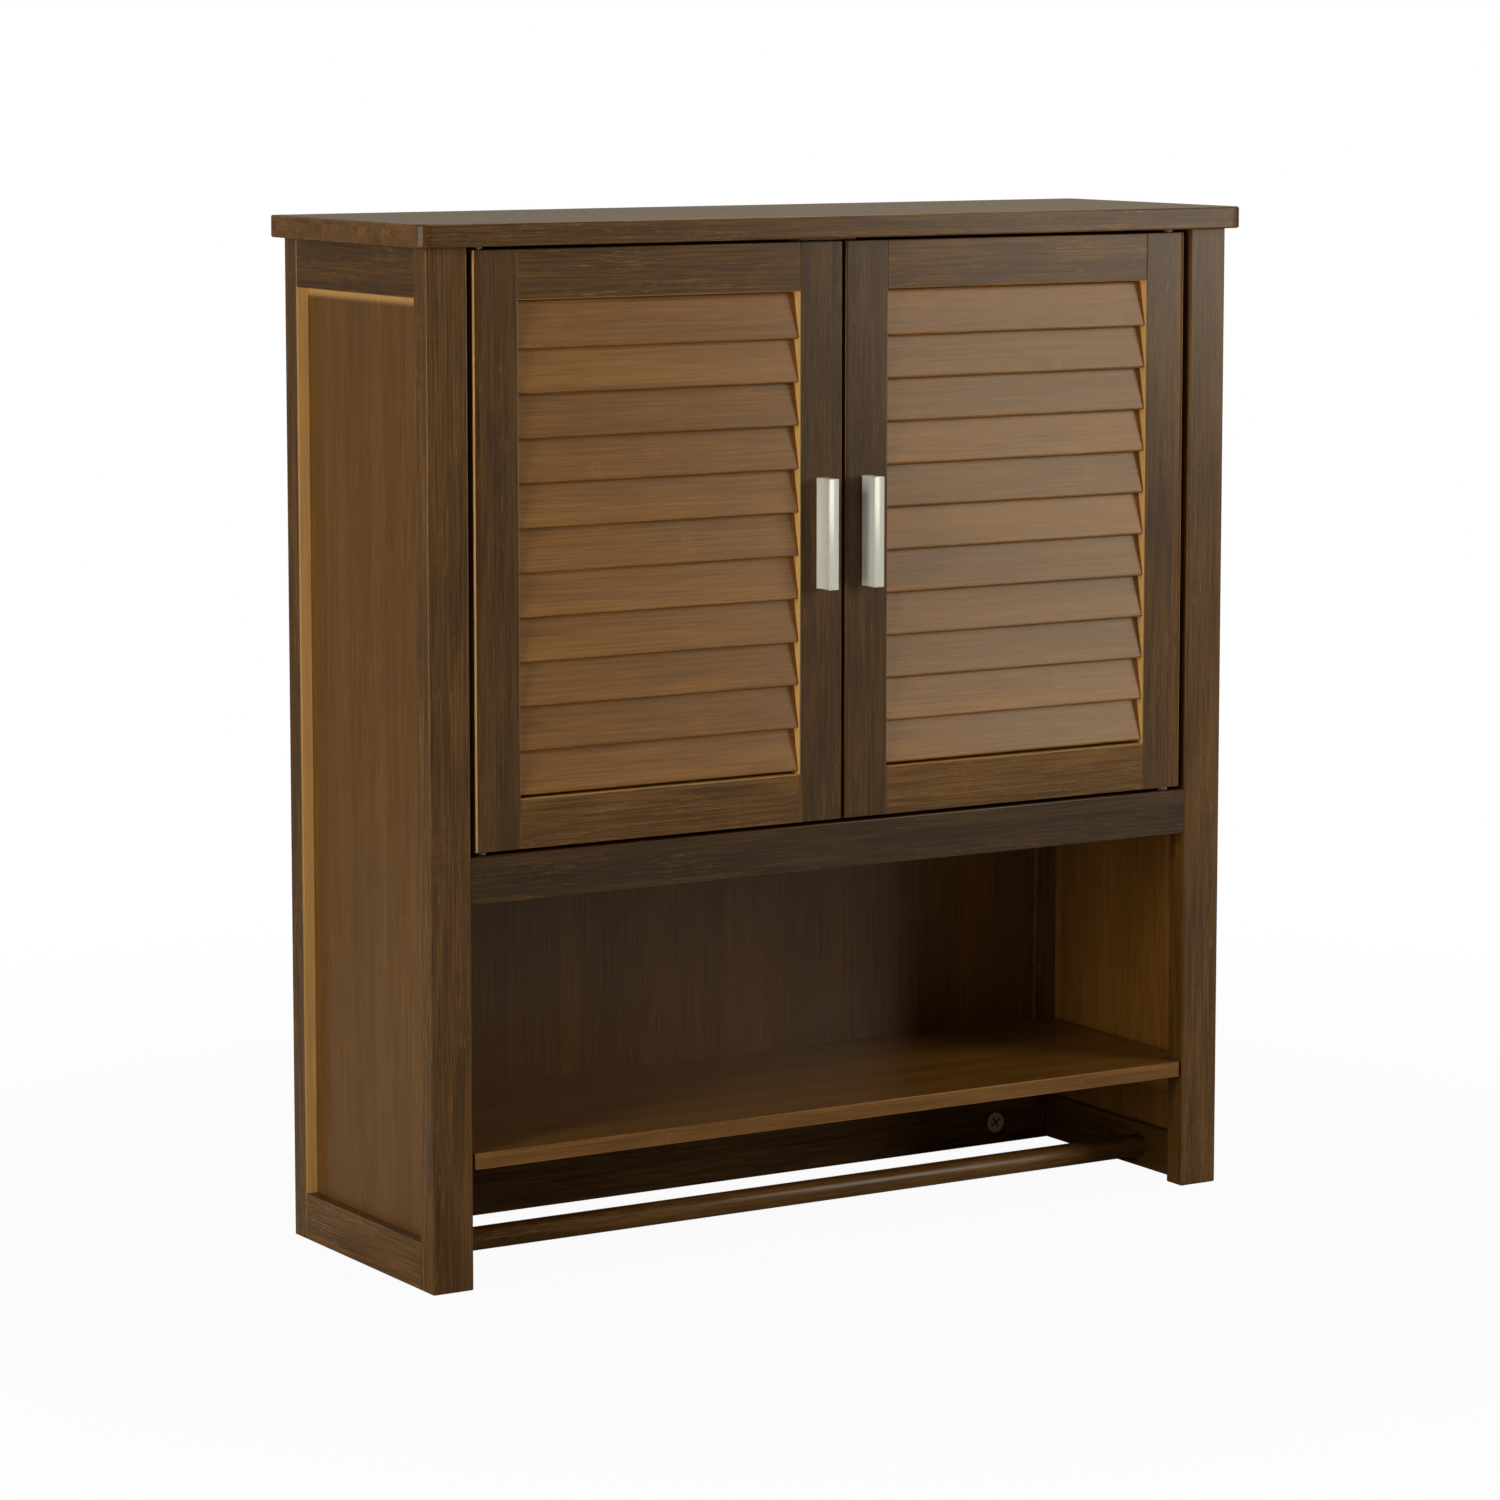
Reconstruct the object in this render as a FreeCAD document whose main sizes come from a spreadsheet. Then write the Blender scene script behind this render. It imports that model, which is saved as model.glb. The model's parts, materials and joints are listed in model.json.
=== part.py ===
"""Bamboo wall cabinet with two louvred doors, an open shelf and a towel rod.

Millimetres, +Z up, +X to the right and -Y to the front. The origin is at floor level,
in the middle of the cabinet's overall width and depth.
"""
import FreeCAD
import Part
import Sketcher
import os
import re

DIMENSIONS = {
    # carcass
    "cabinet_width": 636, "cabinet_depth": 203, "post_height": 685,
    "post_width": 30, "post_depth": 18, "edge_radius": 1.2,
    "top_thickness": 15, "top_overhang_front": 9, "top_overhang_side": 10, "top_corner_radius": 10,
    "rail_thickness": 18, "side_rail_height": 33, "foot_rail_height": 32,
    "side_panel_thickness": 3, "side_panel_inset": 8.5, "back_panel_thickness": 4,
    "back_panel_inset": 3, "groove_depth": 5, "hanging_rail_height": 60,
    # levels and shelves
    "apron_top": 288, "apron_height": 32, "apron_recess": 1,
    "floor_thickness": 12, "shelf_thickness": 11, "open_shelf_top": 91, "inner_shelf_top": 486,
    "shelf_end_gap": 2, "shelf_recess": 1, "inner_shelf_front": 26, "fit_gap": 0.5,
    "batten_height": 14, "batten_width": 17,
    # doors
    "door_thickness": 20, "door_recess": 0.5, "door_side_gap": 3.6, "door_middle_gap": 2.4,
    "door_top_gap": 2.3, "door_bottom_gap": 2.4, "stile_width": 34, "door_rail_height": 33,
    "tenon_length": 15, "tenon_thickness": 8, "tenon_shoulder": 4,
    "door_edge_radius": 5, "meeting_edge_radius": 2,
    # louvre slats
    "slat_pitch": 29.25, "slat_width": 31.5, "slat_thickness": 4.5, "slat_tilt": 12,
    "slat_setback": 1.5, "slat_tongue": 5, "first_slat_drop": 31.4, "slot_play": 0.1,
    # pivots
    "pivot_inset": 9, "pin_radius": 2, "pin_play": 0.05, "pin_grip": 12, "pin_door_grip": 10,
    "bush_radius": 3.5, "bush_thickness": 1.8,
    # handles
    "handle_length": 75, "handle_width": 7.8, "handle_depth": 16, "handle_hollow": 1.2,
    "handle_screw_pitch": 64, "screw_radius": 2, "screw_head_radius": 4, "screw_head_height": 2.5,
    "screw_bite": 8,
    # fittings
    "rod_radius": 8, "rod_setback": 68, "rod_level": 16, "rod_socket": 8,
    "cam_radius": 7.5, "cam_depth": 12.5, "cam_inset": 34.5, "cam_slot": 9, "cam_slot_width": 1.6,
    "cam_slot_depth": 2, "hanging_cam_drop": 45, "bolt_radius": 3, "bolt_bite": 11,
    "catch_width": 47, "catch_depth": 14, "catch_height": 13, "catch_gap": 0.4,
    "strike_width": 18, "strike_height": 11, "strike_thickness": 1.2, "strike_side_gap": 4,
    "hanger_pitch": 400, "hanger_hole_radius": 3,
}
SLAT_COUNT = 11

# Start values that a bound expression replaces, and how near two places count as the same.
START_SIZE = 10
START_ANGLE = 30
SAME_PLACE = 1e-6
NEAR_SIDE = 1

# Expressions that several pieces share. FRONT is the plane of the posts' front faces.
FRONT = "((handle_depth - door_recess - cabinet_depth) / 2)"
BACK = f"({FRONT} + cabinet_depth)"
HALF = "(cabinet_width / 2)"
BAY_HALF = f"({HALF} - post_width)"
FRAME_HALF = f"({HALF} - rail_thickness)"
REAR_FACE = f"({BACK} - post_depth)"
PANEL_FACE = f"({REAR_FACE} + back_panel_inset)"
DOOR_FRONT = f"({FRONT} + door_recess)"
DOOR_BACK = f"({DOOR_FRONT} + door_thickness)"
DOOR_BASE = "(apron_top + door_bottom_gap)"
DOOR_TOP = "(post_height - door_top_gap)"
DOOR_HEIGHT = f"({DOOR_TOP} - {DOOR_BASE})"
DOOR_WIDTH = f"({BAY_HALF} - door_side_gap - door_middle_gap / 2)"
OPENING_WIDTH = f"({DOOR_WIDTH} - 2 * stile_width)"
PIVOT_X = f"({BAY_HALF} - door_side_gap - pivot_inset)"
PIVOT_Y = f"({DOOR_FRONT} + door_thickness / 2)"

OPENING_TOP = f"({DOOR_TOP} - door_rail_height)"
HANDLE_LEVEL = f"({DOOR_BASE} + {DOOR_HEIGHT} / 2)"
CATCH_FRONT = f"({DOOR_BACK} + strike_thickness + catch_gap)"
APRON_CAM_LEVEL = "(apron_top - apron_height / 2)"
HANGING_CAM_LEVEL = "(post_height - hanging_cam_drop)"
FOOT_CAM_LEVEL = "(foot_rail_height / 2)"

SIDES = {"left": -1, "right": 1}

doc = FreeCAD.newDocument("louvred_wall_cabinet")
sheet = doc.addObject("Spreadsheet::Sheet", "Dimensions")
sheet.Label = "dims"
for row, (alias, value) in enumerate(DIMENSIONS.items(), start=1):
    sheet.set(f"A{row}", alias)
    sheet.set(f"B{row}", str(value))
    sheet.setAlias(f"B{row}", alias)
doc.recompute()

sub_parts = []


def cells(text):
    """An expression with every dimension's name turned into a reference to its cell."""
    def swap(match):
        word = match.group(0)
        return f"<<dims>>.{word}" if word in DIMENSIONS else word
    return re.sub(r"[a-z][a-z_]*", swap, str(text))


def bind(thing, **properties):
    """Bind properties, with dots written as two underscores, to expressions over the sheet."""
    for name, text in properties.items():
        thing.setExpression(name.replace("__", "."), cells(text))


def move(thing, place):
    """Bind an object's position to three expressions."""
    bind(thing, Placement__Base__x=place[0], Placement__Base__y=place[1], Placement__Base__z=place[2])


def turn(thing, axis, angle):
    """Turn an object about an axis through its own origin by a bound angle in degrees."""
    thing.Placement = FreeCAD.Placement(FreeCAD.Vector(), FreeCAD.Rotation(FreeCAD.Vector(*axis), START_ANGLE))
    bind(thing, Placement__Rotation__Angle=f"({angle}) * 1 deg")


def origin_plane(body, role):
    return next(item for item in body.Origin.OriginFeatures if item.Role == role)


def rectangle(body, name, size):
    """A fully constrained rectangle on the body's XY plane, from its origin."""
    sketch = body.newObject("Sketcher::SketchObject", name)
    sketch.AttachmentSupport = [(origin_plane(body, "XY_Plane"), "")]
    sketch.MapMode = "FlatFace"
    corners = [FreeCAD.Vector(x, y, 0) * START_SIZE for x, y in ((0, 0), (1, 0), (1, 1), (0, 1))]
    for index in range(4):
        sketch.addGeometry(Part.LineSegment(corners[index], corners[(index + 1) % 4]), False)
    for index in range(4):
        sketch.addConstraint(Sketcher.Constraint("Coincident", index, 2, (index + 1) % 4, 1))
    for index, kind in enumerate(("Horizontal", "Vertical", "Horizontal", "Vertical")):
        sketch.addConstraint(Sketcher.Constraint(kind, index))
    sketch.addConstraint(Sketcher.Constraint("Coincident", 0, 1, -1, 1))
    for index, measure, text in ((0, "across", size[0]), (1, "deep", size[1])):
        number = sketch.addConstraint(Sketcher.Constraint("Distance", index, START_SIZE))
        sketch.renameConstraint(number, measure)
        sketch.setExpression(f"Constraints.{measure}", cells(text))
    return sketch


def block(label, size, corner):
    """A rectangular piece of wood, as a body: its outline padded upwards from its lowest corner."""
    body = doc.addObject("PartDesign::Body", label)
    pad = body.newObject("PartDesign::Pad", f"{label}_pad")
    pad.Profile = rectangle(body, f"{label}_outline", size)
    bind(pad, Length=size[2])
    move(body, corner)
    sub_parts.append(body)
    doc.recompute()
    return body


def add_box(body, kind, size, corner):
    """Add a box to a body, or cut one out of it: kind is Additive or Subtractive."""
    box = body.newObject(f"PartDesign::{kind}Box", f"{body.Label}_{kind.lower()}_box")
    bind(box, Length=size[0], Width=size[1], Height=size[2])
    move(box, corner)
    doc.recompute()
    return box


def bore(body, radius, length, start, axis=(0, 0, 1)):
    """Cut a round hole of the given length along an axis from a start point in the body's frame."""
    hole = body.newObject("PartDesign::SubtractiveCylinder", f"{body.Label}_bore")
    hole.Placement = FreeCAD.Placement(
        FreeCAD.Vector(), FreeCAD.Rotation(FreeCAD.Vector(0, 0, 1), FreeCAD.Vector(*axis)))
    bind(hole, Radius=radius, Height=length)
    move(hole, start)
    doc.recompute()
    return hole


def round_edges(body, radius, chosen):
    """Round the edges of a body's tip that run along Z and that chosen(x, y, box) accepts."""
    tip = body.Tip
    box = tip.Shape.BoundBox
    names = []
    for number, edge in enumerate(tip.Shape.Edges, start=1):
        first, last = edge.Vertexes[0].Point, edge.Vertexes[-1].Point
        upright = abs(first.x - last.x) < SAME_PLACE and abs(first.y - last.y) < SAME_PLACE
        if upright and abs(first.z - last.z) > box.ZLength / 2 and chosen(first.x, first.y, box):
            names.append(f"Edge{number}")
    fillet = body.newObject("PartDesign::Fillet", f"{body.Label}_rounding")
    fillet.Base = (tip, names)
    bind(fillet, Radius=radius)
    doc.recompute()


def every_edge(x, y, box):
    """Accept all of a piece's upright edges."""
    return True


def group(label, solids):
    """One node that holds several separate, identical fittings."""
    compound = doc.addObject("Part::Compound", label)
    compound.Links = solids
    sub_parts.append(compound)
    doc.recompute()
    return compound


def cylinder(name, radius, length, start, axis=(0, 0, 1)):
    piece = doc.addObject("Part::Cylinder", name)
    piece.Placement = FreeCAD.Placement(
        FreeCAD.Vector(), FreeCAD.Rotation(FreeCAD.Vector(0, 0, 1), FreeCAD.Vector(*axis)))
    bind(piece, Radius=radius, Height=length)
    move(piece, start)
    return piece


def box_piece(name, size, corner):
    piece = doc.addObject("Part::Box", name)
    bind(piece, Length=size[0], Width=size[1], Height=size[2])
    move(piece, corner)
    return piece


def fuse(name, pieces):
    result = doc.addObject("Part::MultiFuse", name)
    result.Shapes = pieces
    return result


def cut(name, base, tools):
    result = doc.addObject("Part::Cut", name)
    result.Base = base
    result.Tool = tools[0] if len(tools) == 1 else fuse(f"{name}_tools", tools)
    return result


def from_side(hand, inner, outer):
    """The lowest X of a piece that lies between two distances from the middle plane."""
    return f"-({outer})" if hand < 0 else f"({inner})"


def build_top():
    top = block(
        "top_board",
        ("cabinet_width + 2 * top_overhang_side", "cabinet_depth + top_overhang_front", "top_thickness"),
        (f"-{HALF} - top_overhang_side", f"{FRONT} - top_overhang_front", "post_height"))
    round_edges(top, "top_corner_radius", lambda x, y, box: y < box.YMin + NEAR_SIDE)
    for hand in SIDES.values():
        bore(top, "pin_radius", "pin_grip",
             (f"{HALF} + top_overhang_side + {hand} * {PIVOT_X}",
              f"{PIVOT_Y} - {FRONT} + top_overhang_front", "0"))


def build_side(side, hand):
    """One side frame: two posts, two rails and a thin panel held in their grooves."""
    outer_x = from_side(hand, f"{HALF} - post_width", HALF)
    rail_x = from_side(hand, FRAME_HALF, HALF)
    panel_outer = f"({HALF} - side_panel_inset)"
    panel_inner = f"({panel_outer} - side_panel_thickness)"
    panel_x = from_side(hand, panel_inner, panel_outer)
    rail_length = "cabinet_depth - 2 * post_depth"
    panel_base = "(foot_rail_height - groove_depth)"
    panel_height = "post_height - side_rail_height - foot_rail_height + 2 * groove_depth"
    groove_x = f"{panel_x} - {outer_x}"
    rail_groove_x = f"{panel_x} - {rail_x}"
    bolt_holes = {
        "front": (("post_depth / 2 + apron_recess", APRON_CAM_LEVEL),),
        "rear": (("post_depth / 2", HANGING_CAM_LEVEL), ("post_depth / 2", FOOT_CAM_LEVEL)),
    }

    for name, post_y, groove_y in (("front", FRONT, "post_depth - groove_depth"), ("rear", REAR_FACE, "0")):
        post = block(f"{side}_{name}_post", ("post_width", "post_depth", "post_height"), (outer_x, post_y, "0"))
        round_edges(post, "edge_radius", every_edge)
        add_box(post, "Subtractive", ("side_panel_thickness", "groove_depth", panel_height),
                (groove_x, groove_y, panel_base))
        inner_x = "0" if hand > 0 else "post_width - bolt_bite"
        for bolt_y, level in bolt_holes[name]:
            bore(post, "bolt_radius", "bolt_bite", (inner_x, bolt_y, level), (1, 0, 0))
        if name == "rear":
            groove_start = "0" if hand > 0 else "post_width - groove_depth"
            add_box(post, "Subtractive",
                    ("groove_depth", "back_panel_thickness",
                     "post_height - hanging_rail_height - foot_rail_height + 2 * groove_depth"),
                    (groove_start, "back_panel_inset", panel_base))

    top_rail = block(f"{side}_top_rail", ("rail_thickness", rail_length, "side_rail_height"),
                     (rail_x, f"{FRONT} + post_depth", "post_height - side_rail_height"))
    add_box(top_rail, "Subtractive", ("side_panel_thickness", rail_length, "groove_depth"),
            (rail_groove_x, "0", "0"))

    foot_rail = block(f"{side}_bottom_rail", ("rail_thickness", rail_length, "foot_rail_height"),
                      (rail_x, f"{FRONT} + post_depth", "0"))
    add_box(foot_rail, "Subtractive", ("side_panel_thickness", rail_length, "groove_depth"),
            (rail_groove_x, "0", panel_base))
    socket_x = "0" if hand > 0 else "rail_thickness - rod_socket"
    bore(foot_rail, "rod_radius", "rod_socket", (socket_x, "rod_setback - post_depth", "rod_level"), (1, 0, 0))

    block(f"{side}_side_panel", ("side_panel_thickness", f"{rail_length} + 2 * groove_depth", panel_height),
          (panel_x, f"{FRONT} + post_depth - groove_depth", panel_base))


def build_shelf(label, front, thickness, top, front_tongue):
    """A shelf that spans the side frames, with tongues that pass between the posts."""
    rear_limit = f"({REAR_FACE} - fit_gap)"
    base = f"({top} - {thickness})"
    main_front = f"({FRONT} + post_depth + fit_gap)" if front_tongue else front
    shelf = block(label, (f"2 * {FRAME_HALF}", f"{rear_limit} - {main_front}", thickness),
                  (f"-{FRAME_HALF}", main_front, base))
    tongue_half = f"({BAY_HALF} - shelf_end_gap)"
    tongue_x = f"{FRAME_HALF} - {tongue_half}"
    add_box(shelf, "Additive", (f"2 * {tongue_half}", f"{PANEL_FACE} - {rear_limit}", thickness),
            (tongue_x, f"{rear_limit} - {main_front}", "0"))
    if front_tongue:
        add_box(shelf, "Additive", (f"2 * {tongue_half}", f"{main_front} - {front}", thickness),
                (tongue_x, f"{front} - {main_front}", "0"))


def build_shelves():
    build_shelf("cabinet_floor", f"({FRONT} + apron_recess + post_depth)",
                "floor_thickness", "apron_top", False)
    build_shelf("inner_shelf", f"({FRONT} + inner_shelf_front)", "shelf_thickness", "inner_shelf_top", False)
    build_shelf("open_shelf", f"({FRONT} + shelf_recess)", "shelf_thickness", "open_shelf_top", True)

    battens = []
    for level, thickness in (("apron_top", "floor_thickness"), ("inner_shelf_top", "shelf_thickness"),
                             ("open_shelf_top", "shelf_thickness")):
        for side, hand in SIDES.items():
            inner = f"({HALF} - side_panel_inset - side_panel_thickness - batten_width)"
            battens.append(box_piece(
                f"batten_{side}_{level}", ("batten_width", "cabinet_depth - 2 * post_depth", "batten_height"),
                (from_side(hand, inner, f"({inner} + batten_width)"), f"{FRONT} + post_depth",
                 f"{level} - {thickness} - batten_height")))
    group("shelf_battens", battens)


def build_back():
    width = f"2 * {BAY_HALF}"
    groove_y = "back_panel_inset"
    hanging_base = "(post_height - hanging_rail_height)"

    hanging = block("rear_top_rail", (width, "post_depth", "hanging_rail_height"),
                    (f"-{BAY_HALF}", REAR_FACE, hanging_base))
    add_box(hanging, "Subtractive", (width, "back_panel_thickness", "groove_depth"), ("0", groove_y, "0"))
    for hand in SIDES.values():
        bore(hanging, "hanger_hole_radius", "post_depth",
             (f"{BAY_HALF} + {hand} * hanger_pitch / 2", "0", "hanging_rail_height / 2"), (0, 1, 0))

    foot = block("rear_bottom_rail", (width, "post_depth", "foot_rail_height"),
                 (f"-{BAY_HALF}", REAR_FACE, "0"))
    add_box(foot, "Subtractive", (width, "back_panel_thickness", "groove_depth"),
            ("0", groove_y, "foot_rail_height - groove_depth"))

    bore_cam_seats(hanging, f"{HANGING_CAM_LEVEL} - {hanging_base}", "0", (0, 1, 0))
    bore_cam_seats(foot, FOOT_CAM_LEVEL, "0", (0, 1, 0))

    block("back_panel",
          (f"2 * ({BAY_HALF} + groove_depth)", "back_panel_thickness",
           f"{hanging_base} - foot_rail_height + 2 * groove_depth"),
          (f"-({BAY_HALF} + groove_depth)", PANEL_FACE, "foot_rail_height - groove_depth"))

    apron = block("apron_rail", (width, "post_depth", "apron_height"),
                  (f"-{BAY_HALF}", f"{FRONT} + apron_recess", "apron_top - apron_height"))
    bore_cam_seats(apron, "apron_height / 2", "post_depth", (0, -1, 0))
    for hand in SIDES.values():
        bore(apron, "pin_radius", "pin_grip",
             (f"{BAY_HALF} + {hand} * {PIVOT_X}", f"{PIVOT_Y} - {FRONT} - apron_recess",
              "apron_height - pin_grip"))


def bore_cam_seats(rail, level, face, axis):
    """Seats for a cam near each end of a rail, and the holes that their bolts come in by."""
    for hand in SIDES.values():
        bore(rail, "cam_radius", "cam_depth",
             (f"{BAY_HALF} + {hand} * ({BAY_HALF} - cam_inset)", face, level), axis)
        start = "0" if hand < 0 else f"2 * {BAY_HALF} - cam_inset"
        bore(rail, "bolt_radius", "cam_inset", (start, "post_depth / 2", level), (1, 0, 0))


def build_cam_fittings():
    """Cams with a crossed slot, each with the bolt that it pulls, at both ends of three rails."""
    rails = (
        ("hanging", REAR_FACE, 1, HANGING_CAM_LEVEL, f"({REAR_FACE} + post_depth / 2)"),
        ("foot", REAR_FACE, 1, FOOT_CAM_LEVEL, f"({REAR_FACE} + post_depth / 2)"),
        ("apron", f"({FRONT} + apron_recess + post_depth)", -1, APRON_CAM_LEVEL,
         f"({FRONT} + apron_recess + post_depth / 2)"),
    )
    solids = []
    for name, face, way, level, bolt_y in rails:
        for side, hand in SIDES.items():
            middle = f"({hand} * ({BAY_HALF} - cam_inset))"
            tag = f"cam_{name}_{side}"
            disc = cylinder(f"{tag}_disc", "cam_radius", "cam_depth", (middle, face, level), (0, way, 0))
            slot_y = face if way > 0 else f"{face} - cam_slot_depth"
            across = box_piece(f"{tag}_across", ("cam_slot", "cam_slot_depth", "cam_slot_width"),
                               (f"{middle} - cam_slot / 2", slot_y, f"{level} - cam_slot_width / 2"))
            along = box_piece(f"{tag}_along", ("cam_slot_width", "cam_slot_depth", "cam_slot"),
                              (f"{middle} - cam_slot_width / 2", slot_y, f"{level} - cam_slot / 2"))
            solids.append(cut(f"{tag}_lock", disc, [across, along]))
            bolt_length = "cam_inset - cam_radius + bolt_bite"
            bolt_x = f"-({BAY_HALF} + bolt_bite)" if hand < 0 else f"{BAY_HALF} - cam_inset + cam_radius"
            solids.append(cylinder(f"{tag}_bolt", "bolt_radius", bolt_length,
                                   (bolt_x, bolt_y, level), (1, 0, 0)))
    group("cam_fittings", solids)


def door_span(hand, inner, outer):
    """The lowest X of a door piece between two distances from the door's meeting edge."""
    return from_side(hand, f"door_middle_gap / 2 + {inner}", f"door_middle_gap / 2 + {outer}")


def cut_slat_slots(stile, inner_edge_on_right):
    """Slanted slots for the slats' ends: the lowest one, repeated upwards."""
    depth = "slat_tongue"
    slot = stile.newObject("PartDesign::SubtractiveBox", f"{stile.Label}_slot")
    turn(slot, (1, 0, 0), "-slat_tilt")
    bind(slot, Length=depth, Width="slat_thickness + 2 * slot_play", Height="slat_width + 2 * slot_play")
    lowest = f"({OPENING_TOP} - {DOOR_BASE} - first_slat_drop - {SLAT_COUNT - 1} * slat_pitch)"
    start = f"stile_width - {depth}" if inner_edge_on_right else "0"
    move(slot, (start, "slat_setback - slot_play", f"{lowest} - slot_play"))
    doc.recompute()
    slots = stile.newObject("PartDesign::LinearPattern", f"{stile.Label}_slots")
    slots.Originals = [slot]
    slots.Direction = (origin_plane(stile, "Z_Axis"), [""])
    slots.Occurrences = SLAT_COUNT
    bind(slots, Length=f"{SLAT_COUNT - 1} * slat_pitch")
    stile.Tip = slots
    doc.recompute()


def build_stile(label, hand, inner, outer, hinge):
    stile = block(label, ("stile_width", "door_thickness", DOOR_HEIGHT),
                  (door_span(hand, inner, outer), DOOR_FRONT, DOOR_BASE))
    inner_edge_on_right = (hand < 0) == hinge
    outer_radius = "door_edge_radius" if hinge else "meeting_edge_radius"
    if inner_edge_on_right:
        round_edges(stile, outer_radius, lambda x, y, box: x < box.XMin + NEAR_SIDE)
    else:
        round_edges(stile, outer_radius, lambda x, y, box: x > box.XMax - NEAR_SIDE)
    cut_slat_slots(stile, inner_edge_on_right)
    mortise_x = "stile_width - tenon_length" if inner_edge_on_right else "0"
    for level in ("tenon_shoulder", f"{DOOR_HEIGHT} - door_rail_height + tenon_shoulder"):
        add_box(stile, "Subtractive",
                ("tenon_length", "tenon_thickness", "door_rail_height - 2 * tenon_shoulder"),
                (mortise_x, "(door_thickness - tenon_thickness) / 2", level))
    return stile


def build_door_rail(label, hand, level):
    rail = block(label, (OPENING_WIDTH, "door_thickness", "door_rail_height"),
                 (door_span(hand, "stile_width", f"{DOOR_WIDTH} - stile_width"), DOOR_FRONT, level))
    for tenon_x in ("-tenon_length", OPENING_WIDTH):
        add_box(rail, "Additive", ("tenon_length", "tenon_thickness", "door_rail_height - 2 * tenon_shoulder"),
                (tenon_x, "(door_thickness - tenon_thickness) / 2", "tenon_shoulder"))


def build_slats(side, hand):
    """Slats counted from the top; each leans back from its lower front edge."""
    tongue = "(slat_tongue - slot_play)"
    for index in range(SLAT_COUNT):
        slat = block(f"{side}_slat_{index + 1:02d}",
                     (f"{OPENING_WIDTH} + 2 * {tongue}", "slat_thickness", "slat_width"), ("0", "0", "0"))
        turn(slat, (1, 0, 0), "-slat_tilt")
        move(slat, (door_span(hand, f"stile_width - {tongue}", f"{DOOR_WIDTH} - stile_width + {tongue}"),
                    f"{DOOR_FRONT} + slat_setback", f"{OPENING_TOP} - first_slat_drop - {index} * slat_pitch"))


def build_handle(side, hand):
    """A pull bar with hollowed sides, held by two screws through the meeting stile."""
    middle = f"({hand} * (door_middle_gap / 2 + stile_width / 2))"
    handle = block(f"{side}_handle", ("handle_width", "handle_depth", "handle_length"),
                   (f"{middle} - handle_width / 2", f"{DOOR_FRONT} - handle_depth",
                    f"{HANDLE_LEVEL} - handle_length / 2"))
    sweep = "((handle_depth ^ 2 / 4 + handle_hollow ^ 2) / (2 * handle_hollow))"
    for centre in (f"handle_hollow - {sweep}", f"handle_width - handle_hollow + {sweep}"):
        bore(handle, sweep, "handle_length", (centre, "handle_depth / 2", "0"))

    screws = []
    for place, way in (("lower", -1), ("upper", 1)):
        rise = f"{way} * handle_screw_pitch / 2"
        bore(handle, "screw_radius", "screw_bite",
             ("handle_width / 2", "handle_depth", f"handle_length / 2 + {rise}"), (0, -1, 0))
        level = f"{HANDLE_LEVEL} + {rise}"
        shank = cylinder(f"{side}_{place}_screw_shank", "screw_radius", "screw_bite + door_thickness",
                         (middle, f"{DOOR_FRONT} - screw_bite", level), (0, 1, 0))
        head = cylinder(f"{side}_{place}_screw_head", "screw_head_radius", "screw_head_height",
                        (middle, DOOR_BACK, level), (0, 1, 0))
        screws.append(fuse(f"{side}_{place}_screw", [shank, head]))
    group(f"{side}_handle_screws", screws)


def build_door(side, hand):
    hinge_stile = build_stile(f"{side}_hinge_stile", hand, f"{DOOR_WIDTH} - stile_width", DOOR_WIDTH, True)
    pivot = "pivot_inset" if hand < 0 else "stile_width - pivot_inset"
    for level in ("0", f"{DOOR_HEIGHT} - pin_door_grip"):
        bore(hinge_stile, "pin_radius + pin_play", "pin_door_grip", (pivot, "door_thickness / 2", level))

    meeting_stile = build_stile(f"{side}_meeting_stile", hand, "0", "stile_width", False)
    for way in (-1, 1):
        bore(meeting_stile, "screw_radius", "door_thickness",
             ("stile_width / 2", "0", f"{DOOR_HEIGHT} / 2 + {way} * handle_screw_pitch / 2"), (0, 1, 0))

    build_door_rail(f"{side}_door_top_rail", hand, OPENING_TOP)
    build_door_rail(f"{side}_door_bottom_rail", hand, DOOR_BASE)
    build_slats(side, hand)
    build_handle(side, hand)
    block(f"{side}_strike_plate", ("strike_width", "strike_thickness", "strike_height"),
          (from_side(hand, "strike_side_gap", "strike_side_gap + strike_width"), DOOR_BACK,
           f"{DOOR_TOP} - strike_height - strike_thickness"))


def build_pivots():
    """Steel pins that the doors turn on, with a nylon bush round each pin in the gap."""
    pins = []
    bushes = []
    for side, hand in SIDES.items():
        x = f"{hand} * {PIVOT_X}"
        for place, pin_base, gap, bush_base in (
                ("lower", "apron_top - pin_grip", "door_bottom_gap", "apron_top"),
                ("upper", f"{DOOR_TOP} - pin_door_grip + pin_play", "door_top_gap",
                 "post_height - bush_thickness")):
            tag = f"{side}_{place}"
            length = f"pin_grip + {gap} + pin_door_grip - pin_play"
            pins.append(cylinder(f"{tag}_pin", "pin_radius", length, (x, PIVOT_Y, pin_base)))
            outer = cylinder(f"{tag}_bush_outer", "bush_radius", "bush_thickness", (x, PIVOT_Y, bush_base))
            inner = cylinder(f"{tag}_bush_hole", "pin_radius", "bush_thickness", (x, PIVOT_Y, bush_base))
            bushes.append(cut(f"{tag}_bush", outer, [inner]))
    group("pivot_pins", pins)
    group("pivot_bushes", bushes)


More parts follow.
